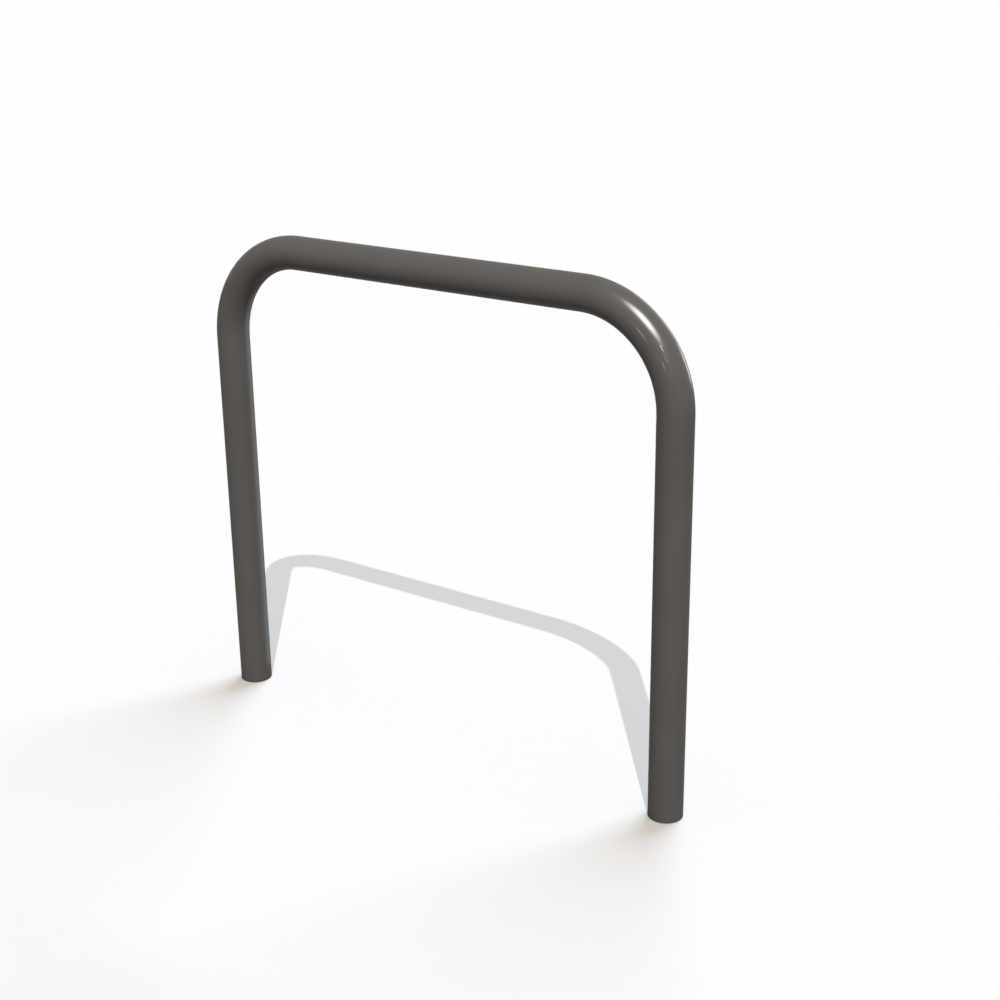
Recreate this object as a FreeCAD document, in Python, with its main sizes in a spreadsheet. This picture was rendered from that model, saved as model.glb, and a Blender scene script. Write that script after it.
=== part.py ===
"""Steel barrier hoop: two legs, two bends and a top rail of one round tube.

The five lengths of tube are butt-welded over internal sleeves. Their ends are bevelled, and each weld
fills its groove and is dressed flush, so that the coated hoop looks like one tube. A foot plug is welded
inside the end of each leg, just above the cut face that stands on the ground. It carries a nut for a
threaded anchor stud and two holes that vent and drain the leg.

Frame: +Z up, +X from the left leg to the right leg, the origin on the ground midway between the legs.
All sizes are in millimetres and degrees.
"""

import FreeCAD
import Part
import Sketcher

from enum import IntEnum
import os

SIZES = {
    # the hoop
    "overall_width": 1000,
    "overall_height": 900,
    "tube_diameter": 60,
    "tube_wall": 3,
    "bend_radius": 172,
    "foot_edge_break": 0.8,
    # the welded joints and their sleeves
    "weld_root_gap": 2.5,
    "weld_root_face": 1,
    "weld_bevel_angle": 30,
    "sleeve_length": 90,
    "sleeve_wall": 3,
    "sleeve_clearance": 0.2,
    "sleeve_lead_in": 1,
    "tangent_spare": 15,
    # the foot plugs and their fixings
    "foot_plug_thickness": 10,
    "foot_plug_clearance": 0.25,
    "foot_weld_leg": 3,
    "foot_weld_height": 1,
    "stud_hole_diameter": 14,
    "vent_diameter": 8,
    "vent_circle_radius": 19,
    "vent_count": 2,
    "nut_across_flats": 24,
    "nut_height": 13,
    "nut_chamfer_angle": 30,
    "nut_washer_face": 22.5,
}

# Sizes that follow from those in the sheet, as formulas on its cells.
OUTER_RADIUS = "Sizes.tube_diameter / 2"
INNER_RADIUS = "(Sizes.tube_diameter / 2 - Sizes.tube_wall)"
ROOT_RADIUS = "(Sizes.tube_diameter / 2 - Sizes.tube_wall + Sizes.weld_root_face)"
BEVEL_LENGTH = "(Sizes.tube_wall - Sizes.weld_root_face) * tan(Sizes.weld_bevel_angle * 1 deg)"
WELD_WIDTH = f"(Sizes.weld_root_gap + 2 * {BEVEL_LENGTH})"
SLEEVE_RADIUS = f"({INNER_RADIUS} - Sizes.sleeve_clearance)"
SLEEVE_BORE_RADIUS = f"({SLEEVE_RADIUS} - Sizes.sleeve_wall)"
TANGENT = "(Sizes.sleeve_length / 2 + Sizes.tangent_spare)"
LEG_AXIS = "(Sizes.overall_width - Sizes.tube_diameter) / 2"
RAIL_AXIS = "(Sizes.overall_height - Sizes.tube_diameter / 2)"
LEG_LENGTH = f"({RAIL_AXIS} - Sizes.bend_radius - {TANGENT} - Sizes.weld_root_gap)"
RAIL_LENGTH = f"(2 * ({LEG_AXIS} - Sizes.bend_radius - {TANGENT} - Sizes.weld_root_gap))"
LEG_JOINT = f"({LEG_LENGTH} + Sizes.weld_root_gap / 2)"
RAIL_JOINT = f"({RAIL_LENGTH} / 2 + Sizes.weld_root_gap / 2)"
BEND_FOOT = f"({LEG_LENGTH} + Sizes.weld_root_gap)"
FOOT_PLUG_RADIUS = f"({INNER_RADIUS} - Sizes.foot_plug_clearance)"
FOOT_PLUG_HEIGHT = "(Sizes.foot_weld_height + Sizes.foot_weld_leg)"
NUT_SEAT = f"({FOOT_PLUG_HEIGHT} + Sizes.foot_plug_thickness)"
NUT_CORNER_RADIUS = "(Sizes.nut_across_flats / sqrt(3))"

UPRIGHT = FreeCAD.Rotation()
HALF_TURN = FreeCAD.Rotation(FreeCAD.Vector(0, 0, 1), 180)
ALONG_RAIL = FreeCAD.Rotation(FreeCAD.Vector(0, 1, 0), 90)
SIDES = {"left": -1, "right": 1}

# Lengths that differ by less than this are the same.
TOLERANCE = 1e-6


class Axis(IntEnum):
    """How a sketch numbers its own axes."""

    X = -1
    Y = -2


class At(IntEnum):
    """How a sketch numbers the points of a line or a circle."""

    START = 1
    END = 2
    CENTRE = 3


doc = FreeCAD.newDocument("BarrierHoop")
sheet = doc.addObject("Spreadsheet::Sheet", "Sizes")
for row, (alias, size) in enumerate(SIZES.items(), start=1):
    sheet.set(f"A{row}", alias)
    sheet.set(f"B{row}", str(size))
    sheet.setAlias(f"B{row}", alias)
doc.recompute()

sub_parts = []


def value(formula):
    """The number that a formula on the sheet's cells gives now."""
    return float(sheet.evalExpression(formula))


def new_body(name, rotation=UPRIGHT, **place):
    """A sub-part at a place given by formulas for x, y and z."""
    body = doc.addObject("PartDesign::Body", name)
    body.Label = name
    body.Placement = FreeCAD.Placement(FreeCAD.Vector(), rotation)
    for axis, formula in place.items():
        body.setExpression(f"Placement.Base.{axis}", formula)
    sub_parts.append(body)
    return body


def new_sketch(body, name, plane, offset=None):
    """A sketch on one of the body's own origin planes, raised along its normal if a formula is given."""
    sketch = body.newObject("Sketcher::SketchObject", f"{body.Name}_{name}")
    origin_plane = next(f for f in body.Origin.OriginFeatures if f.Role == plane)
    sketch.AttachmentSupport = (origin_plane, [""])
    sketch.MapMode = "FlatFace"
    if offset:
        sketch.setExpression("AttachmentOffset.Base.z", offset)
    return sketch


def bind(sketch, constraint, formula):
    """Adds a dimension to a sketch and binds it to a formula."""
    index = sketch.addConstraint(constraint)
    name = f"size_{index}"
    sketch.renameConstraint(index, name)
    sketch.setExpression(f"Constraints.{name}", formula)


def place_point(sketch, shape, point, x, y):
    """Holds a point of a line or circle at x, y in the sketch: formulas, or 0 for on the axis."""
    for kind, formula, axis in (("DistanceX", x, Axis.Y), ("DistanceY", y, Axis.X)):
        if formula == "0":
            sketch.addConstraint(Sketcher.Constraint("PointOnObject", shape, point, axis))
        else:
            distance = Sketcher.Constraint(kind, Axis.X, At.START, shape, point, value(formula))
            bind(sketch, distance, formula)


def polygon(sketch, corners):
    """A closed outline through corners given as pairs of formulas."""
    points = [FreeCAD.Vector(value(x), value(y), 0) for x, y in corners]
    lines = [sketch.addGeometry(Part.LineSegment(a, b)) for a, b in zip(points, points[1:] + points[:1])]
    for line, following in zip(lines, lines[1:] + lines[:1]):
        sketch.addConstraint(Sketcher.Constraint("Coincident", line, At.END, following, At.START))
    for line, (x, y) in zip(lines, corners):
        place_point(sketch, line, At.START, x, y)


def circle(sketch, radius, x="0"):
    """A circle about a point on the sketch's x axis."""
    centre = FreeCAD.Vector(value(x), 0, 0)
    index = sketch.addGeometry(Part.Circle(centre, FreeCAD.Vector(0, 0, 1), value(radius)))
    place_point(sketch, index, At.CENTRE, x, "0")
    bind(sketch, Sketcher.Constraint("Radius", index, value(radius)), radius)


def turning_axis(sketch, start, end):
    """A construction line between two points, as pairs of formulas, for a revolution to turn about."""
    ends = [FreeCAD.Vector(value(x), value(y), 0) for x, y in (start, end)]
    line = sketch.addGeometry(Part.LineSegment(*ends), True)
    place_point(sketch, line, At.START, *start)
    place_point(sketch, line, At.END, *end)


def revolve(body, sketch, axis="V_Axis", angle=360, kind="Revolution"):
    """Turns a sketch about one of its own axes, to add material or, as a Groove, to cut it away."""
    feature = body.newObject(f"PartDesign::{kind}", f"{sketch.Name}_{kind.lower()}")
    feature.Profile = sketch
    feature.ReferenceAxis = (sketch, [axis])
    feature.Angle = angle
    doc.recompute()
    return feature


def pad(body, sketch, length):
    """Raises a sketch by a length given as a formula."""
    feature = body.newObject("PartDesign::Pad", f"{sketch.Name}_pad")
    feature.Profile = sketch
    feature.setExpression("Length", length)
    doc.recompute()
    return feature


def drill(body, sketch):
    """Cuts a sketch through the whole body, both ways from its plane."""
    feature = body.newObject("PartDesign::Pocket", f"{sketch.Name}_pocket")
    feature.Profile = sketch
    feature.Type = "ThroughAll"
    feature.Midplane = True
    doc.recompute()
    return feature


def chamfer_circles(body, size, radius, heights):
    """Chamfers the round edges of that radius at those heights, all given as formulas."""
    base = body.Tip
    edges = []
    for index, edge in enumerate(base.Shape.Edges, start=1):
        curve = edge.Curve
        is_round = isinstance(curve, Part.Circle) and abs(curve.Radius - value(radius)) < TOLERANCE
        if is_round and any(abs(curve.Center.z - value(height)) < TOLERANCE for height in heights):
            edges.append(f"Edge{index}")
    feature = body.newObject("PartDesign::Chamfer", f"{body.Name}_chamfer")
    feature.Base = (base, edges)
    feature.setExpression("Size", size)
    doc.recompute()
    return feature


def wall_section(length, bevel_start=False, bevel_end=True):
    """Corners of a tube wall as (distance from its axis, distance along it), with its weld bevels."""
    if bevel_start:
        start = [(INNER_RADIUS, "0"), (ROOT_RADIUS, "0"), (OUTER_RADIUS, BEVEL_LENGTH)]
    else:
        start = [(INNER_RADIUS, "0"), (OUTER_RADIUS, "0")]
    if bevel_end:
        end = [(OUTER_RADIUS, f"{length} - {BEVEL_LENGTH}"), (ROOT_RADIUS, length), (INNER_RADIUS, length)]
    else:
        end = [(OUTER_RADIUS, length), (INNER_RADIUS, length)]
    return start + end


def straight_tube(name, length, rotation, bevel_start, **place):
    """A cut length of tube with a weld bevel on its far end, and on its near end if asked."""
    body = new_body(name, rotation, **place)
    sketch = new_sketch(body, "wall", "XZ_Plane")
    polygon(sketch, wall_section(length, bevel_start))
    revolve(body, sketch)
    return body


def leg(side, sign):
    """A leg stands on its square-cut lower end, whose outer edge is broken."""
    body = straight_tube(f"{side}_leg", LEG_LENGTH, UPRIGHT, False, x=f"{sign} * {LEG_AXIS}")
    chamfer_circles(body, "Sizes.foot_edge_break", OUTER_RADIUS, ["0"])


def top_rail():
    """The rail between the two bends, bevelled at both ends."""
    straight_tube("top_rail", RAIL_LENGTH, ALONG_RAIL, True, x=f"-{RAIL_LENGTH} / 2", z=RAIL_AXIS)


def bend(side, sign):
    """A quarter bend with a straight tangent at each end. Its origin is at the foot of the lower one."""
    rotation = UPRIGHT if sign < 0 else HALF_TURN
    body = new_body(f"{side}_bend", rotation, x=f"{sign} * {LEG_AXIS}", z=BEND_FOOT)

    lower = new_sketch(body, "lower_tangent", "XZ_Plane")
    polygon(lower, wall_section(TANGENT, bevel_start=True, bevel_end=False))
    revolve(body, lower)

    quarter = new_sketch(body, "quarter", "XY_Plane", TANGENT)
    circle(quarter, OUTER_RADIUS)
    circle(quarter, INNER_RADIUS)
    turning_axis(quarter, ("Sizes.bend_radius", "0"), ("Sizes.bend_radius", "Sizes.bend_radius"))
    revolve(body, quarter, "Axis0", 90)

    upper = new_sketch(body, "upper_tangent", "XZ_Plane")
    rail_height = f"({TANGENT} + Sizes.bend_radius)"
    corners = wall_section(TANGENT)
    polygon(upper, [(f"Sizes.bend_radius + {s}", f"{rail_height} + {r}") for r, s in corners])
    turning_axis(upper, ("0", rail_height), ("Sizes.bend_radius", rail_height))
    revolve(body, upper, "Axis0")


def sleeve(name, rotation, **place):
    """A sleeve inside a joint, half in each tube, with a lead-in at both ends."""
    body = new_body(name, rotation, **place)
    sketch = new_sketch(body, "ring", "XY_Plane")
    circle(sketch, SLEEVE_RADIUS)
    circle(sketch, SLEEVE_BORE_RADIUS)
    pad(body, sketch, "Sizes.sleeve_length")
    chamfer_circles(body, "Sizes.sleeve_lead_in", SLEEVE_RADIUS, ["0", "Sizes.sleeve_length"])


def butt_weld(name, rotation, **place):
    """The weld that fills a joint's groove, from the sleeve out to the tube's own surface."""
    body = new_body(name, rotation, **place)
    sketch = new_sketch(body, "section", "XZ_Plane")
    root_start = BEVEL_LENGTH
    root_end = f"{BEVEL_LENGTH} + Sizes.weld_root_gap"
    polygon(sketch, [
        (SLEEVE_RADIUS, root_start), (ROOT_RADIUS, root_start), (OUTER_RADIUS, "0"),
        (OUTER_RADIUS, WELD_WIDTH), (ROOT_RADIUS, root_end), (SLEEVE_RADIUS, root_end),
    ])
    revolve(body, sketch)


def joints(side, sign):
    """A bend's two joints: one to its leg and one to the top rail."""
    leg_x = f"{sign} * {LEG_AXIS}"
    rail_x = f"{sign} * {RAIL_JOINT}"
    half_sleeve = "Sizes.sleeve_length / 2"
    half_weld = f"{WELD_WIDTH} / 2"
    sleeve(f"{side}_leg_sleeve", UPRIGHT, x=leg_x, z=f"{LEG_JOINT} - {half_sleeve}")
    butt_weld(f"{side}_leg_weld", UPRIGHT, x=leg_x, z=f"{LEG_JOINT} - {half_weld}")
    sleeve(f"{side}_rail_sleeve", ALONG_RAIL, x=f"{rail_x} - {half_sleeve}", z=RAIL_AXIS)
    butt_weld(f"{side}_rail_weld", ALONG_RAIL, x=f"{rail_x} - {half_weld}", z=RAIL_AXIS)


def foot_plug(side, sign):
    """A disc inside the end of a leg, with a hole for the anchor stud and holes to vent and drain it."""
    body = new_body(f"{side}_foot_plug", x=f"{sign} * {LEG_AXIS}", z=FOOT_PLUG_HEIGHT)
    disc = new_sketch(body, "disc", "XY_Plane")
    circle(disc, FOOT_PLUG_RADIUS)
    pad(body, disc, "Sizes.foot_plug_thickness")

    stud_hole = new_sketch(body, "stud_hole", "XY_Plane")
    circle(stud_hole, "Sizes.stud_hole_diameter / 2")
    drill(body, stud_hole)

    vent = new_sketch(body, "vent", "XY_Plane")
    circle(vent, "Sizes.vent_diameter / 2", "Sizes.vent_circle_radius")
    first_vent = drill(body, vent)
    vents = body.newObject("PartDesign::PolarPattern", f"{body.Name}_vents")
    vents.Originals = [first_vent]
    vents.Axis = (vent, ["N_Axis"])
    vents.Angle = 360
    vents.setExpression("Occurrences", "Sizes.vent_count")
    body.Tip = vents
    doc.recompute()


def foot_weld(side, sign):
    """The fillet weld under a foot plug, all round the bore of its leg and clear of the ground."""
    body = new_body(f"{side}_foot_weld", x=f"{sign} * {LEG_AXIS}")
    sketch = new_sketch(body, "section", "XZ_Plane")
    polygon(sketch, [
        (INNER_RADIUS, "Sizes.foot_weld_height"), (INNER_RADIUS, FOOT_PLUG_HEIGHT),
        (f"{INNER_RADIUS} - Sizes.foot_weld_leg", FOOT_PLUG_HEIGHT),
    ])
    revolve(body, sketch)


def anchor_nut(side, sign):
    """A hexagon nut on top of a foot plug, its upper corners turned off at the usual angle."""
    body = new_body(f"{side}_anchor_nut", x=f"{sign} * {LEG_AXIS}", z=NUT_SEAT)
    hexagon = new_sketch(body, "hexagon", "XY_Plane")
    half_flat = f"({NUT_CORNER_RADIUS} / 2)"
    half_width = "(Sizes.nut_across_flats / 2)"
    polygon(hexagon, [
        (NUT_CORNER_RADIUS, "0"), (half_flat, half_width), (f"-{half_flat}", half_width),
        (f"-{NUT_CORNER_RADIUS}", "0"), (f"-{half_flat}", f"-{half_width}"), (half_flat, f"-{half_width}"),
    ])
    circle(hexagon, "Sizes.stud_hole_diameter / 2")
    pad(body, hexagon, "Sizes.nut_height")

    corners = new_sketch(body, "corners", "XZ_Plane")
    rim = "Sizes.nut_across_flats"
    face = "Sizes.nut_washer_face / 2"
    drop = f"({rim} - {face}) * tan(Sizes.nut_chamfer_angle * 1 deg)"
    top = "Sizes.nut_height"
    polygon(corners, [(face, top), (rim, f"{top} - {drop}"), (rim, top)])
    revolve(body, corners, kind="Groove")


def check():
    """Stops the build if an object failed, or a sub-part isn't one valid solid."""
    for obj in doc.Objects:
        if {"Invalid", "Error"} & set(obj.State):
            raise RuntimeError(f"{obj.Label} failed: {obj.State}")
    for body in sub_parts:
        shape = body.Shape
        if shape.isNull() or not shape.isValid() or len(shape.Solids) != 1:
            raise RuntimeError(f"{body.Label} isn't one valid solid")


def export():
    """Writes one STEP file for each sub-part."""
    os.makedirs("parts", exist_ok=True)
    for body in sub_parts:
        body.Shape.exportStep(f"parts/{body.Label}.step")
        box = body.Shape.BoundBox
        print(f"{body.Label:18s} {body.Shape.Volume / 1000:8.2f} cm3  z {box.ZMin:7.2f} to {box.ZMax:7.2f}")


top_rail()
for side, sign in SIDES.items():
    leg(side, sign)
    bend(side, sign)
    joints(side, sign)
    foot_plug(side, sign)
    foot_weld(side, sign)
    anchor_nut(side, sign)
doc.recompute()
check()
export()
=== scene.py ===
"""Looks of the steel barrier hoop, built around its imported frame.

The hoop is a welded run of round tube: two legs, two bends and a top rail. Its surfaces are swept
here at a fine resolution, coated, and set on a white floor in a white surround. The coat's matt
colour, its gloss and the floor each have lamps of their own.
"""

import logging
import math
from dataclasses import dataclass, field
from enum import Enum

import bpy
import numpy as np
from mathutils import Matrix, Vector


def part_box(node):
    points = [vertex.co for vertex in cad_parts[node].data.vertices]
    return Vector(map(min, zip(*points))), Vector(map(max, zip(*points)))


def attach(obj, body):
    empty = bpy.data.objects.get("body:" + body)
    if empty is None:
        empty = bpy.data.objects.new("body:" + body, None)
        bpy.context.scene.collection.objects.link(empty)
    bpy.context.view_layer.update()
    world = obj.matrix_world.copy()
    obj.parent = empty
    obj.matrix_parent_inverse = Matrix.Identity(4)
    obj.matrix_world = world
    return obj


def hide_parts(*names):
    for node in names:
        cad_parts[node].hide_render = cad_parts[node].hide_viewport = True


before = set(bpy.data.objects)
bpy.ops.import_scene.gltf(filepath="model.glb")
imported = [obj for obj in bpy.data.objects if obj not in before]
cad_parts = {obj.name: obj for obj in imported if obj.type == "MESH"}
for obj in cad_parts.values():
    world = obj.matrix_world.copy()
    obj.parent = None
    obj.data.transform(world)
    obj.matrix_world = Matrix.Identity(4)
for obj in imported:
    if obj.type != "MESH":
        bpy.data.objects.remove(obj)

log = logging.getLogger("barrier_hoop")

Colour = tuple[float, float, float]
Point = tuple[float, float, float]
Range = tuple[float, float]
Socket = bpy.types.NodeSocket
Tree = bpy.types.NodeTree

BODY = "root"
UP: Point = (0.0, 0.0, 1.0)
RIGHTWARD: Point = (1.0, 0.0, 0.0)
WHITE: Colour = (1.0, 1.0, 1.0)
BLACK: Colour = (0.0, 0.0, 0.0)
QUARTER_TURN = math.pi / 2.0

# How many points there are round a tube, and round the welds that are flush with it
TUBE_COLUMNS = 192

# What most values of soft noise lie between
NOISE_RANGE: Range = (0.3, 0.7)


class EndCut(Enum):
    """How the end of a tube is cut."""

    SQUARE = "square"
    BEVELLED = "bevelled"


class Reach(Enum):
    """What a lamp lights: the floor alone, or the hoop's matt colour, or its reflections."""

    FLOOR = "floor"
    MATT = "matt"
    REFLECTIONS = "reflections"


class Side(Enum):
    """The two sides of the hoop, with the way from the middle to each along X."""

    LEFT = -1.0
    RIGHT = 1.0

    @property
    def word(self) -> str:
        """The side's name as the frame's nodes begin with it."""
        return self.name.lower()


def box_array(node: str) -> np.ndarray:
    """The box of a CAD node.

    Args:
        node: The node's name.

    Returns:
        A 2 by 3 array, with the lowest corner and then the highest, in metres.
    """
    return np.array([tuple(corner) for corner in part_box(node)], dtype=float)


def left_end(node: str) -> Point:
    """Where the axis of a level CAD node begins, at its left end, in metres."""
    box = box_array(node)
    return float(box[0, 0]), 0.0, float(box[:, 2].mean())


# Meshes


def angles_round(columns: int) -> np.ndarray:
    """Evenly spaced angles, once round, in radians."""
    return np.linspace(0.0, 2.0 * math.pi, columns, endpoint=False)


@dataclass(frozen=True)
class Centreline:
    """A tube's centreline: a straight lead, a quarter turn and a straight run out.

    Attributes:
        start: Where the lead begins, in metres.
        ahead: The way that the lead goes.
        inward: The way that the run out goes.
        across: The normal of the plane that the line lies in.
        lead: The length of the lead. A straight tube is all lead.
        radius: The radius of the turn.
    """

    start: Point
    ahead: Point
    inward: Point
    across: Point = (0.0, 1.0, 0.0)
    lead: float = 1.0
    radius: float = 1.0

    def sweep(self, section: np.ndarray, columns: int) -> np.ndarray:
        """Carries a section round the line.

        The turn so far is the distance past the lead over the radius, from none to a quarter. A
        point on the line is the lead plus radius times the sine of the turn ahead, and radius times
        one minus its cosine inward, plus what is left of the distance. A point of the surface is
        off that, in the plane square to the line: the cosine of the angle round the line across,
        and its sine along the line's own normal.

        Args:
            section: Points as (distance along the line, distance off it).
            columns: How many angles the section is carried through.

        Returns:
            An array of len(section) by columns by 3, in metres.
        """
        start, ahead, inward, across = (
            np.array(v) for v in (self.start, self.ahead, self.inward, self.across)
        )
        along, off = section[:, 0], section[:, 1]
        turn = np.clip((along - self.lead) / self.radius, 0.0, QUARTER_TURN)[:, None]
        straight = np.minimum(along, self.lead)[:, None]
        run_out = np.maximum(along - self.lead - QUARTER_TURN * self.radius, 0.0)[:, None]
        line = start + ahead * (straight + self.radius * np.sin(turn))
        line = line + inward * (self.radius * (1.0 - np.cos(turn)) + run_out)
        heading = ahead * np.cos(turn) + inward * np.sin(turn)
        normal = np.cross(heading, across)[:, None, :]
        around = angles_round(columns)[None, :, None]
        offset = across * np.cos(around) + normal * np.sin(around)
        return line[:, None, :] + off[:, None, None] * offset


def ring_faces(rows: int, columns: int) -> np.ndarray:
    """Quads of a grid whose rows and columns both close on themselves.

    Args:
        rows: How many rows of points the grid has.
        columns: How many points each row has.

    Returns:
        An array of quads, as numbers of the grid's points in row order.
    """
    row, column = np.meshgrid(np.arange(rows), np.arange(columns), indexing="ij")
    next_row = (row + 1) % rows
    next_column = (column + 1) % columns
    corners = ((row, column), (row, next_column), (next_row, next_column), (next_row, column))
    return np.stack([r * columns + c for r, c in corners], axis=-1).reshape(-1, 4)


def enclosed_volume(points: np.ndarray, quads: np.ndarray) -> float:
    """The volume inside a closed surface of quads.

    It is a sixth of the sum, over the two triangles of each quad, of the triple product of their
    corners.

    Args:
        points: The surface's points, in metres.
        quads: Its faces, as numbers of the points.

    Returns:
        The volume in cubic metres, below zero where the faces point inwards.
    """
    a, b, c, d = (points[quads[:, i]] for i in range(4))
    first, second = (
        np.einsum("ij,ij->i", a, normal) for normal in (np.cross(b, c), np.cross(c, d))
    )
    return float((first + second).sum() / 6.0)


def ring_surface(name: str, grid: np.ndarray, sharp_from: float = 25.0) -> bpy.types.Object:
    """A smooth closed mesh from a grid of points that closes on itself both ways.

    Args:
        name: The new object's name.
        grid: The points, rows by columns by 3, in metres.
        sharp_from: The angle between faces, in degrees, from which an edge stays sharp.

    Returns:
        The new object, at the origin and in the scene.
    """
    points = grid.reshape(-1, 3)
    quads = ring_faces(*grid.shape[:2])
    if enclosed_volume(points, quads) < 0.0:
        quads = quads[:, ::-1]
    mesh = bpy.data.meshes.new(name)
    mesh.vertices.add(len(points))
    mesh.vertices.foreach_set("co", points.astype(np.float32).ravel())
    mesh.loops.add(quads.size)
    mesh.loops.foreach_set("vertex_index", quads.astype(np.int32).ravel())
    mesh.polygons.add(len(quads))
    mesh.polygons.foreach_set("loop_start", np.arange(0, quads.size, 4, dtype=np.int32))
    mesh.update(calc_edges=True)
    mesh.validate()
    mesh.shade_smooth()
    mesh.set_sharp_from_angle(angle=math.radians(sharp_from))
    piece = bpy.data.objects.new(name, mesh)
    bpy.context.scene.collection.objects.link(piece)
    return piece


# Nodes


def fill_socket(tree: Tree, socket: Socket, value: object) -> None:
    """Links a socket to another one, or sets it to a plain value.

    Args:
        tree: The node tree.
        socket: The socket, an input.
        value: An output socket, or a number, colour or point.
    """
    if isinstance(value, Socket):
        tree.links.new(value, socket)
    else:
        socket.default_value = value


def add_node(tree: Tree, kind: str, **sockets: object) -> bpy.types.Node:
    """A new node with some of its inputs filled.

    Args:
        tree: The node tree that it goes into.
        kind: The node's type, without the words that all shader nodes begin with.
        sockets: Values or output sockets by input name, with _ for a space.

    Returns:
        The new node.
    """
    node = tree.nodes.new(f"ShaderNode{kind}")
    for name, value in sockets.items():
        fill_socket(tree, node.inputs[name.replace("_", " ")], value)
    return node


def new_tree(
    owner: bpy.types.Material | bpy.types.World | bpy.types.Light, output: str = "OutputMaterial"
) -> tuple[Tree, Socket]:
    """Clears the nodes of a material, world or lamp.

    Args:
        owner: What the nodes belong to.
        output: The type of its output node.

    Returns:
        Its node tree, and the socket that its surface goes to.
    """
    owner.use_nodes = True
    tree = owner.node_tree
    tree.nodes.clear()
    return tree, add_node(tree, output).inputs["Surface"]


def own_space(tree: Tree) -> Socket:
    """The socket of a point's place in the object's own space."""
    return add_node(tree, "TexCoord").outputs["Object"]


def calculate(
    tree: Tree, operation: str, *values: Socket | float, clamp: bool = False
) -> Socket:
    """Works something out with a Math node.

    Args:
        tree: The node tree.
        operation: The node's operation.
        values: Its inputs in order, as sockets or numbers.
        clamp: Whether the result is held between 0 and 1.

    Returns:
        The socket of the result.
    """
    node = add_node(tree, "Math")
    node.operation = operation
    node.use_clamp = clamp
    for socket, value in zip(node.inputs, values):
        fill_socket(tree, socket, value)
    return node.outputs["Value"]


def distance_from(tree: Tree, place: Socket, point: Point) -> Socket:
    """How far a place is from a fixed point.

    Args:
        tree: The node tree.
        place: The socket of the place.
        point: The fixed point.

    Returns:
        The socket of the distance.
    """
    node = add_node(tree, "VectorMath")
    node.operation = "DISTANCE"
    for socket, value in zip(node.inputs, (place, point)):
        fill_socket(tree, socket, value)
    return node.outputs["Value"]


def remap(
    tree: Tree, value: Socket, taken: Range = (0.0, 1.0), given: Range = (0.0, 1.0),
    smooth: bool = False,
) -> Socket:
    """Carries a value from one range to another, and holds it at the ends.

    Args:
        tree: The node tree.
        value: The socket of the value.
        taken: The range that it comes from.
        given: The range that it goes to.
        smooth: Whether it goes as a smooth step and not in a straight line.

    Returns:
        The socket of the new value.
    """
    node = add_node(
        tree, "MapRange", Value=value, From_Min=taken[0], From_Max=taken[1],
        To_Min=given[0], To_Max=given[1],
    )
    if smooth:
        node.interpolation_type = "SMOOTHSTEP"
    return node.outputs["Result"]


def noise(tree: Tree, size: float, detail: float = 2.0) -> Socket:
    """Soft noise in the object's own space.

    Args:
        tree: The node tree.
        size: About how far apart its lumps are, in metres.
        detail: How many finer layers it has.

    Returns:
        The socket of its value, about 0.5 on average.
    """
    node = add_node(tree, "TexNoise", Vector=own_space(tree), Scale=1.0 / size, Detail=detail)
    return node.outputs["Fac"]


def opaque(colour: Colour) -> tuple[float, float, float, float]:
    """A colour with full alpha, as sockets take it."""
    return (*colour, 1.0)


def shades(colour: Colour, share: float) -> tuple[Colour, Colour]:
    """A colour made darker, and made lighter, by a share of itself.

    Args:
        colour: The colour.
        share: The share.

    Returns:
        The darker colour and the lighter one.
    """
    darker, lighter = (tuple(c * level for c in colour) for level in (1.0 - share, 1.0 + share))
    return darker, lighter


def blend_colours(tree: Tree, share: Socket, low: Colour, high: Colour) -> Socket:
    """A colour between two others.

    Args:
        tree: The node tree.
        share: How far from the low colour to the high one, from 0 to 1.
        low: The low colour.
        high: The high colour.

    Returns:
        The socket of the colour.
    """
    ramp = add_node(tree, "ValToRGB", Fac=share)
    for stop, colour in zip(ramp.color_ramp.elements, (low, high)):
        stop.color = opaque(colour)
    return ramp.outputs["Color"]


# Finishes


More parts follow.
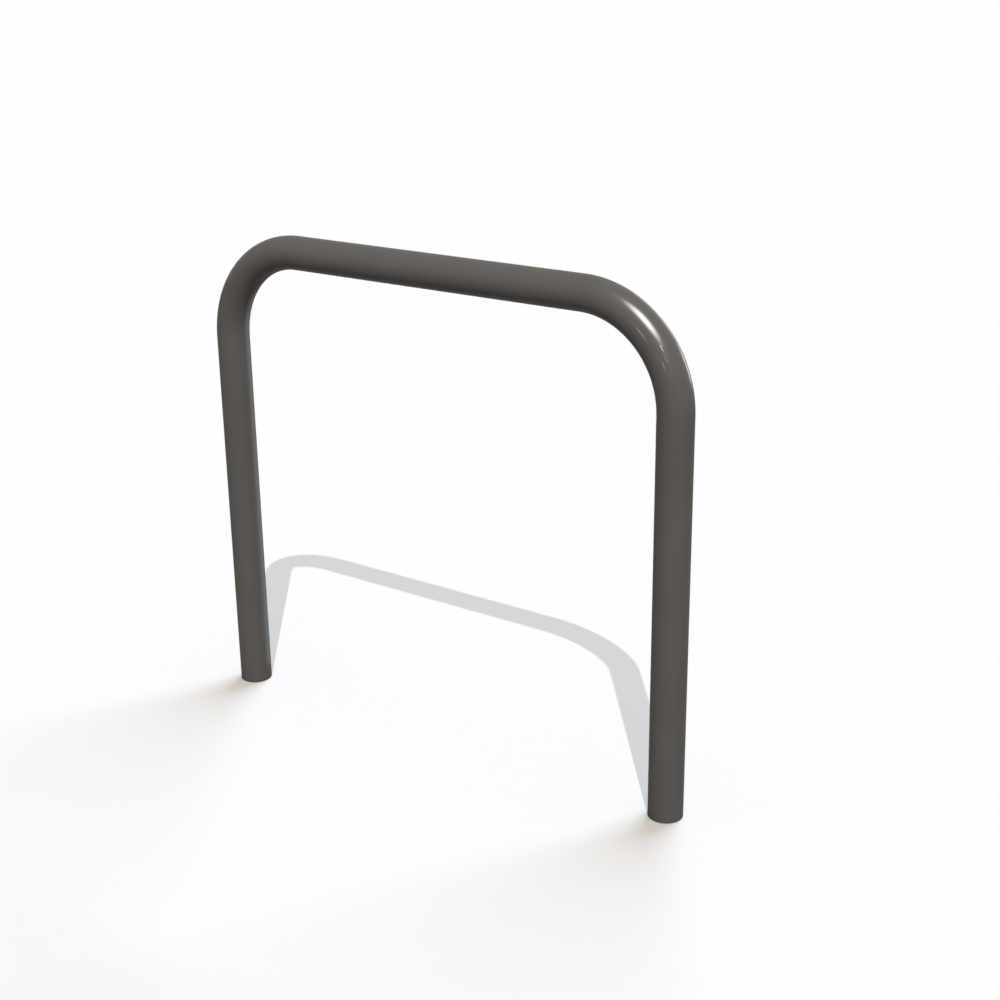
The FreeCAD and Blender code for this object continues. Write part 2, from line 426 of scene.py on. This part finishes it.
@dataclass(frozen=True)
class PowderCoat:
    """A smooth semi-gloss powder coat: a soft sheen under a thin clear gloss, with orange peel.

    Attributes:
        colour: The coat's colour.
        mottle: How much lighter and darker it drifts, as a share.
        drift_size: About how far apart the lighter and darker places are, in metres.
        drift_detail: How many finer layers the drift has.
        roughness: The lowest and highest roughness of its sheen.
        roughness_size: About how far apart the duller and shinier places are, in metres.
        sheen_level: The strength of the sheen's reflection, where 0.5 is that of plain plastic.
        gloss: The share of clear gloss on top.
        gloss_roughness: The roughness of the gloss.
        peel_size: How far apart the lumps of the orange peel are, in metres.
        peel_detail: How many finer layers the orange peel has.
        peel_depth: How high its lumps stand, in metres.
    """

    colour: Colour = (0.092, 0.086, 0.076)
    mottle: float = 0.035
    drift_size: float = 0.09
    drift_detail: float = 3.0
    roughness: Range = (0.285, 0.305)
    roughness_size: float = 0.03
    sheen_level: float = 0.225
    gloss: float = 0.6
    gloss_roughness: float = 0.06
    peel_size: float = 0.0016
    peel_detail: float = 1.0
    peel_depth: float = 0.000006

    def material(self) -> bpy.types.Material:
        """Makes the coat's material from noise in the object's own space.

        Returns:
            The new material.
        """
        material = bpy.data.materials.new("grey_powder_coat")
        tree, surface = new_tree(material)
        drift = remap(tree, noise(tree, self.drift_size, self.drift_detail), NOISE_RANGE)
        lumps = noise(tree, self.peel_size, self.peel_detail)
        peel = add_node(tree, "Bump", Height=lumps, Strength=1.0, Distance=self.peel_depth)
        coat = add_node(
            tree, "BsdfPrincipled",
            Base_Color=blend_colours(tree, drift, *shades(self.colour, self.mottle)),
            Roughness=remap(tree, noise(tree, self.roughness_size), NOISE_RANGE, self.roughness),
            Specular_IOR_Level=self.sheen_level,
            Coat_Weight=self.gloss,
            Coat_Roughness=self.gloss_roughness,
            Normal=peel.outputs["Normal"],
            Coat_Normal=peel.outputs["Normal"],
        )
        tree.links.new(coat.outputs["BSDF"], surface)
        return material


@dataclass(frozen=True)
class HotDipZinc:
    """Dull hot-dip zinc, with its crystals' facets a little lighter and darker than each other.

    Attributes:
        colour: The zinc's colour.
        metallic: How much it reflects as bare metal does.
        facet_size: How wide a crystal is, in metres.
        contrast: How much lighter and darker the facets are, as a share.
        roughness: The lowest and highest roughness of a facet.
        grain_size: How far apart the lumps of its fine grain are, in metres.
        grain_depth: How high they stand, in metres.
        grain_strength: How much of that height shows.
    """

    colour: Colour = (0.46, 0.47, 0.48)
    metallic: float = 0.85
    facet_size: float = 0.004
    contrast: float = 0.18
    roughness: Range = (0.38, 0.58)
    grain_size: float = 0.0008
    grain_depth: float = 0.00005
    grain_strength: float = 0.4

    def material(self) -> bpy.types.Material:
        """Makes the zinc's material from cells in the object's own space.

        Returns:
            The new material.
        """
        material = bpy.data.materials.new("hot_dip_zinc")
        tree, surface = new_tree(material)
        scale = 1.0 / self.facet_size
        crystals = add_node(tree, "TexVoronoi", Vector=own_space(tree), Scale=scale)
        facet = add_node(tree, "SeparateColor", Color=crystals.outputs["Color"])
        tones = shades(self.colour, self.contrast)
        grain = add_node(
            tree, "Bump", Height=noise(tree, self.grain_size), Strength=self.grain_strength,
            Distance=self.grain_depth,
        )
        zinc = add_node(
            tree, "BsdfPrincipled",
            Base_Color=blend_colours(tree, facet.outputs["Red"], *tones),
            Metallic=self.metallic,
            Roughness=remap(tree, facet.outputs["Green"], given=self.roughness),
            Normal=grain.outputs["Normal"],
        )
        tree.links.new(zinc.outputs["BSDF"], surface)
        return material


def dress(piece: bpy.types.Object, material: bpy.types.Material) -> None:
    """Gives a piece one material all over."""
    piece.data.materials.clear()
    piece.data.materials.append(material)


def dress_node(node: str, material: bpy.types.Material) -> None:
    """Gives a CAD node one material all over, and logs it."""
    dress(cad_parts[node], material)
    log.info("%s: dressed", node)


# The hoop


@dataclass
class Tube:
    """One cut length of the hoop's tube.

    Attributes:
        node: The CAD node that it stands for, which also names it.
        line: Its centreline.
        length: The length of its wall, along the centreline.
        outer: Its outer radius.
        bore: The radius of its bore.
        cuts: How its first and last end are cut.
        bevel: The length of a weld bevel.
        root_face: How much of the wall a weld bevel leaves square.
        edge: The radius of the broken outer edge of a square end.
        edge_points: How many points there are over that edge.
        step: The longest stretch between rows of points.
        columns: How many points there are round it.
    """

    node: str
    line: Centreline
    length: float
    outer: float
    bore: float
    cuts: tuple[EndCut, EndCut]
    bevel: float
    root_face: float
    edge: float
    edge_points: int = 7
    step: float = 0.003
    columns: int = TUBE_COLUMNS

    def end_profile(self, cut: EndCut) -> np.ndarray:
        """One end's outline, from the bore out to the outer wall.

        A square end turns into the outer wall by a quarter circle, and a bevelled one by a straight
        slope above its root face.

        Args:
            cut: How the end is cut.

        Returns:
            Points as (distance from the end, distance off the centreline).
        """
        inner = (0.0, self.bore)
        if cut is EndCut.BEVELLED:
            return np.array([inner, (0.0, self.bore + self.root_face), (self.bevel, self.outer)])
        turn = np.linspace(0.0, QUARTER_TURN, self.edge_points)
        along = self.edge * (1.0 - np.cos(turn))
        off = self.outer - self.edge * (1.0 - np.sin(turn))
        return np.vstack([[inner], np.stack([along, off], axis=-1)])

    def section(self) -> np.ndarray:
        """The wall's outline, once round: first end, outer wall, last end and bore.

        Returns:
            Points as (distance along the centreline, distance off it).
        """
        first, last = (self.end_profile(cut) for cut in self.cuts)
        last = np.stack([self.length - last[:, 0], last[:, 1]], axis=-1)[::-1]
        count = math.ceil((last[0, 0] - first[-1, 0]) / self.step)
        outer_wall = np.linspace(first[-1], last[0], count + 1)[1:-1]
        bore_wall = np.linspace(last[-1], first[0], count + 1)[1:-1]
        return np.vstack([first, outer_wall, last, bore_wall])

    def build(self) -> bpy.types.Object:
        """Sweeps the wall's outline round the centreline and puts it in the CAD node's place.

        Returns:
            The new piece.
        """
        grid = self.line.sweep(self.section(), self.columns)
        piece = ring_surface(f"{self.node}_tube", grid)
        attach(piece, BODY)
        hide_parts(self.node)
        log.info("%s: %d faces", piece.name, len(piece.data.polygons))
        return piece


@dataclass
class ButtWeld:
    """A weld that fills the groove between two tubes, dressed flush.

    Attributes:
        node: The CAD node that it stands for, which also names it.
        line: The centreline through the joint, from one edge of the weld.
        width: Its width at the outer wall.
        root_gap: Its width at the bore.
        outer: The tube's outer radius.
        bore: The radius that it reaches in to.
        root: The radius at which its groove begins to widen.
        columns: How many points there are round it.
    """

    node: str
    line: Centreline
    width: float
    root_gap: float
    outer: float
    bore: float
    root: float
    columns: int = TUBE_COLUMNS

    def build(self) -> bpy.types.Object:
        """Turns the groove's outline round the centreline and puts it in the CAD node's place.

        The outline goes up one side of the root gap, out along the bevel to the outer wall, across
        it, and down the other side in the same way.

        Returns:
            The new piece.
        """
        near = (self.width - self.root_gap) / 2.0
        far = self.width - near
        section = np.array([
            (near, self.bore), (near, self.root), (0.0, self.outer),
            (self.width / 2.0, self.outer),
            (self.width, self.outer), (far, self.root), (far, self.bore),
        ])
        piece = ring_surface(f"{self.node}_bead", self.line.sweep(section, self.columns))
        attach(piece, BODY)
        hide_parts(self.node)
        log.info("%s: %d faces", piece.name, len(piece.data.polygons))
        return piece


@dataclass
class Hoop:
    """The coated run of tube, with most of its sizes read from the frame.

    Attributes:
        coat: The finish of every tube and weld.
        bend_radius: The radius of the bends' centreline.
        root_face: How much of the wall the weld bevels leave square.
        edge: The radius of the broken edge at the feet.
        pieces: What has been built.
        outer: The tube's outer radius.
        bore: The radius of its bore.
        sleeve: The outer radius of the sleeves, which the welds reach in to.
        leg_length: The length of a leg.
        root_gap: The gap between the root faces of two tubes.
        weld_width: The width of a butt weld at the outer wall.
        bevel: The length of a weld bevel.
        tangent: The length of the straight stretch at each end of a bend.
    """

    coat: PowderCoat
    bend_radius: float = 0.172
    root_face: float = 0.001
    edge: float = 0.0008
    pieces: list[bpy.types.Object] = field(default_factory=list)
    outer: float = field(init=False)
    bore: float = field(init=False)
    sleeve: float = field(init=False)
    leg_length: float = field(init=False)
    root_gap: float = field(init=False)
    weld_width: float = field(init=False)
    bevel: float = field(init=False)
    tangent: float = field(init=False)

    def __post_init__(self) -> None:
        """Reads the sizes that the frame's boxes give."""
        leg, bend, weld, sleeve, plug_weld = (
            box_array(f"left_{word}")
            for word in ("leg", "bend", "leg_weld", "leg_sleeve", "foot_weld")
        )
        self.outer, self.bore, self.sleeve = (
            float(np.ptp(box[:, 1]) / 2.0) for box in (leg, plug_weld, sleeve)
        )
        self.leg_length = float(leg[1, 2])
        self.root_gap = float(bend[0, 2] - leg[1, 2])
        self.weld_width = float(np.ptp(weld[:, 2]))
        self.bevel = (self.weld_width - self.root_gap) / 2.0
        self.tangent = float(np.ptp(bend[:, 2]) - self.outer - self.bend_radius)

    def add_tube(
        self, node: str, line: Centreline, length: float, first_cut: EndCut = EndCut.BEVELLED
    ) -> None:
        """Builds a length of the hoop's tube, with its last end bevelled.

        Args:
            node: The CAD node that it stands for.
            line: Its centreline.
            length: Its length along the centreline.
            first_cut: How its first end is cut.
        """
        tube = Tube(
            node, line, length, self.outer, self.bore, cuts=(first_cut, EndCut.BEVELLED),
            bevel=self.bevel, root_face=self.root_face, edge=self.edge,
        )
        self.pieces.append(tube.build())

    def add_weld(self, node: str, line: Centreline) -> None:
        """Builds one of the hoop's butt welds.

        Args:
            node: The CAD node that it stands for.
            line: The centreline through the joint, from one edge of the weld.
        """
        weld = ButtWeld(
            node, line, self.weld_width, self.root_gap, self.outer, bore=self.sleeve,
            root=self.bore + self.root_face,
        )
        self.pieces.append(weld.build())

    def build_side(self, side: Side) -> None:
        """Builds a leg, its bend and the welds at the bend's two ends.

        Args:
            side: Which side of the hoop.
        """
        leg, bend, leg_weld, rail_weld = (
            f"{side.word}_{word}" for word in ("leg", "bend", "leg_weld", "rail_weld")
        )
        inward = (-side.value, 0.0, 0.0)
        x = float(box_array(leg)[:, 0].mean())
        bend_foot, weld_foot = (float(box_array(node)[0, 2]) for node in (bend, leg_weld))

        leg_line = Centreline((x, 0.0, 0.0), UP, inward, lead=self.leg_length)
        self.add_tube(leg, leg_line, self.leg_length, EndCut.SQUARE)
        bend_line = Centreline(
            (x, 0.0, bend_foot), UP, inward, lead=self.tangent, radius=self.bend_radius
        )
        self.add_tube(bend, bend_line, 2.0 * self.tangent + QUARTER_TURN * self.bend_radius)
        self.add_weld(leg_weld, Centreline((x, 0.0, weld_foot), UP, inward))
        self.add_weld(rail_weld, Centreline(left_end(rail_weld), RIGHTWARD, UP))

    def build_rail(self) -> None:
        """Builds the top rail."""
        length = float(np.ptp(box_array("top_rail")[:, 0]))
        line = Centreline(left_end("top_rail"), RIGHTWARD, UP, lead=length)
        self.add_tube("top_rail", line, length)

    def build(self) -> None:
        """Builds every tube and weld and coats them."""
        for side in Side:
            self.build_side(side)
        self.build_rail()
        coat = self.coat.material()
        for piece in self.pieces:
            dress(piece, coat)


@dataclass
class Foot:
    """The plug, nut and weld inside the end of a leg.

    Attributes:
        side: Which leg it is in.
        ripple: How high the ripples of the weld stand.
        ripples: How many ripples there are round it.
        bow: How far a ripple bows ahead between the toes, in radians of its own wave.
        lap: How far a ripple is skewed over the one before, in radians of its own wave.
        rows: How many points there are from toe to toe.
        columns: How many points there are round it.
        sharp_from: The angle between faces, in degrees, from which its edges stay sharp.
    """

    side: Side
    ripple: float = 0.00022
    ripples: int = 44
    bow: float = 1.2
    lap: float = 0.5
    rows: int = 13
    columns: int = 528
    sharp_from: float = 60.0

    def build_weld(self) -> bpy.types.Object:
        """Makes the fillet weld, with a ripple for each step of its run.

        Its section is a corner between the plug and the bore, closed by a face at 45 degrees that
        bulges as a sine from one toe to the other. The bulge also rises and falls as a sine round
        the weld, bowed between the toes and skewed so that each ripple laps the one before.

        Returns:
            The new piece.
        """
        node = f"{self.side.word}_foot_weld"
        box = box_array(node)
        centre = box.mean(axis=0)
        outer = float(np.ptp(box[:, 1]) / 2.0)
        low, high = float(box[0, 2]), float(box[1, 2])
        leg = high - low
        around = angles_round(self.columns)
        toe = np.linspace(0.0, 1.0, self.rows)[:, None]
        crown = np.sin(math.pi * toe)
        step = self.ripples * around[None, :] + self.bow * crown
        wave = 0.5 + 0.5 * np.sin(step + self.lap * np.sin(step))
        bulge = -self.ripple * wave * crown
        slope = math.sqrt(0.5)
        radius = outer - leg * toe + bulge * slope
        height = low + leg * toe - bulge * slope
        corner = np.full((1, self.columns), 1.0)
        radius = np.vstack([radius, outer * corner])
        height = np.vstack([height, high * corner])
        x, y = centre[0] + radius * np.cos(around), centre[1] + radius * np.sin(around)
        grid = np.stack([x, y, height], axis=-1)
        piece = ring_surface(f"{node}_bead", grid, self.sharp_from)
        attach(piece, BODY)
        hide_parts(node)
        log.info("%s: %d faces", piece.name, len(piece.data.polygons))
        return piece

    def build(self, zinc: bpy.types.Material) -> None:
        """Builds the weld and dresses the whole foot.

        Args:
            zinc: The finish of its pieces.
        """
        dress(self.build_weld(), zinc)
        for word in ("foot_plug", "anchor_nut"):
            dress_node(f"{self.side.word}_{word}", zinc)


# The studio


@dataclass(frozen=True)
class Lamp:
    """A lamp that is a long way off, or a panel.

    Attributes:
        name: The lamp's name.
        reach: What it lights.
        azimuth: Where it stands, in degrees from the front towards +X.
        elevation: How high it stands, in degrees.
        colour: Its colour.
        strength: Its strength: watts per square metre for a distant lamp, and the brightness of a
            panel, where 1 is white.
        spread: The angle that a distant lamp fills, in degrees.
        panel: The angles that a panel's width and height fill, in degrees, or None for a distant
            lamp.
        soft: Whether a panel fades from its middle to its edges.
        cone: The angle that a panel shines over, in degrees.
        aim: The point that it shines at, in metres, or None for the studio's own.
        distance: How far from that point it stands, in metres, or None for the studio's own.
    """

    name: str
    reach: Reach
    azimuth: float
    elevation: float
    colour: Colour
    strength: float
    spread: float = 1.0
    panel: Range | None = None
    soft: bool = False
    cone: float = 180.0
    aim: Point | None = None
    distance: float | None = None

    @classmethod
    def white_panel(
        cls, name: str, azimuth: float, elevation: float, strength: float, panel: Range,
        soft: bool = False,
    ) -> "Lamp":
        """A white panel that shows only in reflections.

        Args:
            name: The lamp's name.
            azimuth: Where it stands, in degrees from the front towards +X.
            elevation: How high it stands, in degrees.
            strength: Its brightness, where 1 is white.
            panel: The angles that its width and height fill, in degrees.
            soft: Whether it fades from its middle to its edges.

        Returns:
            The lamp, not yet in the scene.
        """
        return cls(
            name, Reach.REFLECTIONS, azimuth, elevation, WHITE, strength, panel=panel, soft=soft
        )

    def towards(self) -> Vector:
        """The way from the hoop to the lamp.

        Returns:
            A vector one metre long.
        """
        turn, rise = math.radians(self.azimuth), math.radians(self.elevation)
        level = math.cos(rise)
        return Vector((math.sin(turn) * level, -math.cos(turn) * level, math.sin(rise)))

    @staticmethod
    def soften(data: bpy.types.Light) -> None:
        """Fades a panel from its middle to a circle that just fits it, as a smooth step.

        Args:
            data: The panel.
        """
        tree, surface = new_tree(data, "OutputLight")
        half = 0.5
        place = add_node(tree, "NewGeometry").outputs["Parametric"]
        away = distance_from(tree, place, (half, half, 0.0))
        fade = remap(tree, away, (0.0, half), (1.0, 0.0), smooth=True)
        glow = add_node(tree, "Emission", Strength=fade)
        tree.links.new(glow.outputs["Emission"], surface)

    def light(self, distance: float) -> bpy.types.Light:
        """Makes the light itself.

        A panel's power is its brightness times pi times its area.

        Args:
            distance: How far away the lamp stands, in metres.

        Returns:
            The new light.
        """
        if self.panel is None:
            data = bpy.data.lights.new(self.name, "SUN")
            data.angle = math.radians(self.spread)
            data.energy = self.strength
        else:
            data = bpy.data.lights.new(self.name, "AREA")
            data.shape = "RECTANGLE"
            data.spread = math.radians(self.cone)
            data.size, data.size_y = (
                2.0 * distance * math.tan(math.radians(angle) / 2.0) for angle in self.panel
            )
            data.energy = self.strength * math.pi * data.size * data.size_y
        data.color = self.colour
        if self.soft:
            self.soften(data)
        return data

    def add(self, aim: Vector, distance: float, floor: bpy.types.Object) -> None:
        """Puts the lamp in the scene, pointing at the hoop.

        Args:
            aim: The point that it shines at, unless it has its own.
            distance: How far away it stands, in metres, unless it has its own.
            floor: The floor, which some lamps leave out and others light alone.
        """
        aim, distance = Vector(self.aim or aim), self.distance or distance
        lamp = bpy.data.objects.new(self.name, self.light(distance))
        facing = self.towards().to_track_quat("Z", "Y").to_matrix().to_4x4()
        lamp.matrix_world = Matrix.Translation(aim + self.towards() * distance) @ facing
        lamp.visible_camera = False
        lamp.visible_diffuse = self.reach is not Reach.REFLECTIONS
        lamp.visible_glossy = self.reach is not Reach.MATT
        lit = bpy.data.collections.new(f"{self.name}_lights")
        lit.objects.link(floor)
        floor_link = lit.collection_objects[0].light_linking
        floor_link.link_state = "INCLUDE" if self.reach is Reach.FLOOR else "EXCLUDE"
        lamp.light_linking.receiver_collection = lit
        bpy.context.scene.collection.objects.link(lamp)
        log.info("lamp %s", self.name)


@dataclass(frozen=True)
class Camera:
    """The camera, placed by where it stands and which way it looks.

    Attributes:
        place: Where it stands, in metres.
        azimuth: Where it looks from, in degrees from the front towards +X.
        elevation: How steeply it looks down, in degrees.
        roll: How far it leans, in degrees.
        lens: Its focal length, in millimetres.
        sensor: The width of its sensor, in millimetres.
        sight: How far it sees, in metres.
    """

    place: Point
    azimuth: float
    elevation: float
    roll: float
    lens: float
    sensor: float = 36.0
    sight: float = 500.0

    def add(self) -> None:
        """Puts the camera in the scene and looks through it."""
        data = bpy.data.cameras.new("camera")
        data.lens = self.lens
        data.sensor_width = self.sensor
        data.clip_end = self.sight
        camera = bpy.data.objects.new("camera", data)
        turn = Matrix.Rotation(math.radians(self.azimuth), 4, "Z")
        tilt = Matrix.Rotation(math.radians(90.0 - self.elevation), 4, "X")
        lean = Matrix.Rotation(math.radians(self.roll), 4, "Z")
        camera.matrix_world = Matrix.Translation(self.place) @ turn @ tilt @ lean
        bpy.context.scene.collection.objects.link(camera)
        bpy.context.scene.camera = camera
        log.info("camera")


@dataclass
class Studio:
    """A white floor that runs to the horizon, lamps, a white surround and the camera.

    Attributes:
        camera: The camera.
        lamps: The lamps.
        fill: The strength of the even light from all round.
        floor_colour: The floor's colour.
        floor_bounce: The colour that the floor throws back at the hoop.
        floor_reach: How far the floor reaches from the middle, in metres.
        lamp_aim: The point that the lamps shine at, on the hoop's right bend, in metres.
        lamp_distance: How far from there they stand, in metres.
        mirrored: How much of the white surround shows in reflections.
        mirrored_floor: How much of the floor's white does.
    """

    camera: Camera
    lamps: list[Lamp]
    fill: float = 0.19
    floor_colour: Colour = (0.92, 0.92, 0.92)
    floor_bounce: Colour = (0.34, 0.28, 0.265)
    floor_reach: float = 200.0
    lamp_aim: Point = (0.43, 0.0, 0.82)
    lamp_distance: float = 6.0
    mirrored: float = 0.07
    mirrored_floor: float = 0.16

    @staticmethod
    def seen(tree: Tree, mirrored: float) -> Socket:
        """How much of the white backdrop a ray shows.

        It is all of it straight or through glass, less in a reflection, and none for a ray that
        only carries light.

        Args:
            tree: The node tree.
            mirrored: The share that shows in reflections.

        Returns:
            The socket of that share.
        """
        ray = add_node(tree, "LightPath").outputs
        plain = calculate(tree, "ADD", ray["Is Camera Ray"], ray["Is Transmission Ray"], clamp=True)
        return calculate(tree, "MULTIPLY_ADD", ray["Is Glossy Ray"], mirrored, plain, clamp=True)

    def floor_material(self) -> bpy.types.Material:
        """The floor's white, which takes shadows, and throws less light back than it shows.

        Returns:
            The new material.
        """
        material = bpy.data.materials.new("studio_floor")
        tree, surface = new_tree(material)
        lighting = add_node(tree, "LightPath").outputs["Is Diffuse Ray"]
        bounced = blend_colours(tree, lighting, BLACK, self.floor_bounce)
        bounce = add_node(tree, "BsdfDiffuse", Color=bounced)
        shown = add_node(tree, "BsdfDiffuse", Color=opaque(self.floor_colour))
        either = add_node(tree, "MixShader", Fac=self.seen(tree, self.mirrored_floor))
        for socket, layer in zip(either.inputs[1:], (bounce, shown)):
            tree.links.new(layer.outputs["BSDF"], socket)
        tree.links.new(either.outputs["Shader"], surface)
        return material

    def add_floor(self) -> bpy.types.Object:
        """Lays the floor at the height of the feet: a square with one point in each corner.

        Returns:
            The new floor.
        """
        square = np.array([(-1, -1, 0), (1, -1, 0), (1, 1, 0), (-1, 1, 0)])
        mesh = bpy.data.meshes.new("floor")
        mesh.from_pydata((self.floor_reach * square).tolist(), [], [(0, 1, 2, 3)])
        floor = bpy.data.objects.new("floor", mesh)
        bpy.context.scene.collection.objects.link(floor)
        dress(floor, self.floor_material())
        return floor

    def add_surround(self) -> None:
        """Makes the surround white where it is seen and dim where it only lights."""
        world = bpy.data.worlds.new("studio")
        tree, surface = new_tree(world, "OutputWorld")
        level = remap(tree, self.seen(tree, self.mirrored), given=(self.fill, 1.0))
        surround = add_node(tree, "Background", Color=opaque(WHITE), Strength=level)
        tree.links.new(surround.outputs["Background"], surface)
        bpy.context.scene.world = world

    def build(self) -> None:
        """Sets up the floor, the surround, the lamps and the camera."""
        floor = self.add_floor()
        self.add_surround()
        for lamp in self.lamps:
            lamp.add(Vector(self.lamp_aim), self.lamp_distance, floor)
        self.camera.add()
        bpy.context.scene.view_settings.view_transform = "Standard"


def studio_lamps() -> list[Lamp]:
    """The lamps, for the coat's matt colour, its gloss and the floor.

    The last one is a strip that stands close behind the left leg, for the light along its edge.

    Returns:
        The lamps, in the order in which they are put up.
    """
    key = (38.47, 51.7)
    return [
        Lamp("key", Reach.MATT, *key, (1.0, 0.97, 0.96), strength=4.0, spread=5.0),
        Lamp.white_panel("key_gloss", 43.8, 56.0, strength=31.0, panel=(43.5, 50.0), soft=True),
        Lamp("back_light", Reach.MATT, 175.0, 18.0, (0.9, 0.95, 1.0), strength=3.2, spread=50.0),
        Lamp("floor_key", Reach.FLOOR, *key, (1.0, 0.975, 0.97), strength=1.365, spread=0.35),
        Lamp("floor_back", Reach.FLOOR, 182.0, 18.0, (0.69, 0.83, 1.0), strength=5.2, spread=62.0),
        Lamp("floor_warm", Reach.FLOOR, 0.0, 90.0, (1.0, 0.62, 0.15), strength=0.55, spread=180.0),
        Lamp.white_panel("back_panel", 167.5, 1.5, strength=3.9, panel=(14.0, 14.0)),
        Lamp.white_panel("back_wing", 186.0, 9.0, strength=1.3, panel=(22.0, 16.0)),
        Lamp.white_panel("upper_catch", 42.3, 29.7, strength=29.0, panel=(3.0, 5.0)),
        Lamp.white_panel("lower_catch", 39.5, 20.0, strength=5.5, panel=(4.0, 5.0)),
        Lamp.white_panel("front_catch", -10.0, 6.0, strength=6.5, panel=(4.0, 5.0)),
        Lamp.white_panel("side_catch", 15.5, 6.8, strength=4.5, panel=(6.0, 3.5)),
        Lamp(
            "leg_strip", Reach.REFLECTIONS, 158.0, -20.0, WHITE, strength=0.11,
            panel=(70.0, 124.0), cone=80.0, aim=(-0.47, 0.0, 0.36), distance=0.2,
        ),
    ]


def main() -> None:
    """Builds the hoop and its studio."""
    logging.basicConfig(level=logging.INFO, format="%(name)s: %(message)s")
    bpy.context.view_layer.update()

    Hoop(coat=PowderCoat()).build()
    zinc = HotDipZinc().material()
    for side in Side:
        Foot(side).build(zinc)
        for joint in ("leg", "rail"):
            dress_node(f"{side.word}_{joint}_sleeve", zinc)

    camera = Camera(
        place=(1.63742, -2.08082, 1.41281), azimuth=35.823, elevation=19.688, roll=-0.681,
        lens=58.019,
    )
    Studio(camera, studio_lamps()).build()


if __name__ == "__main__":
    main()
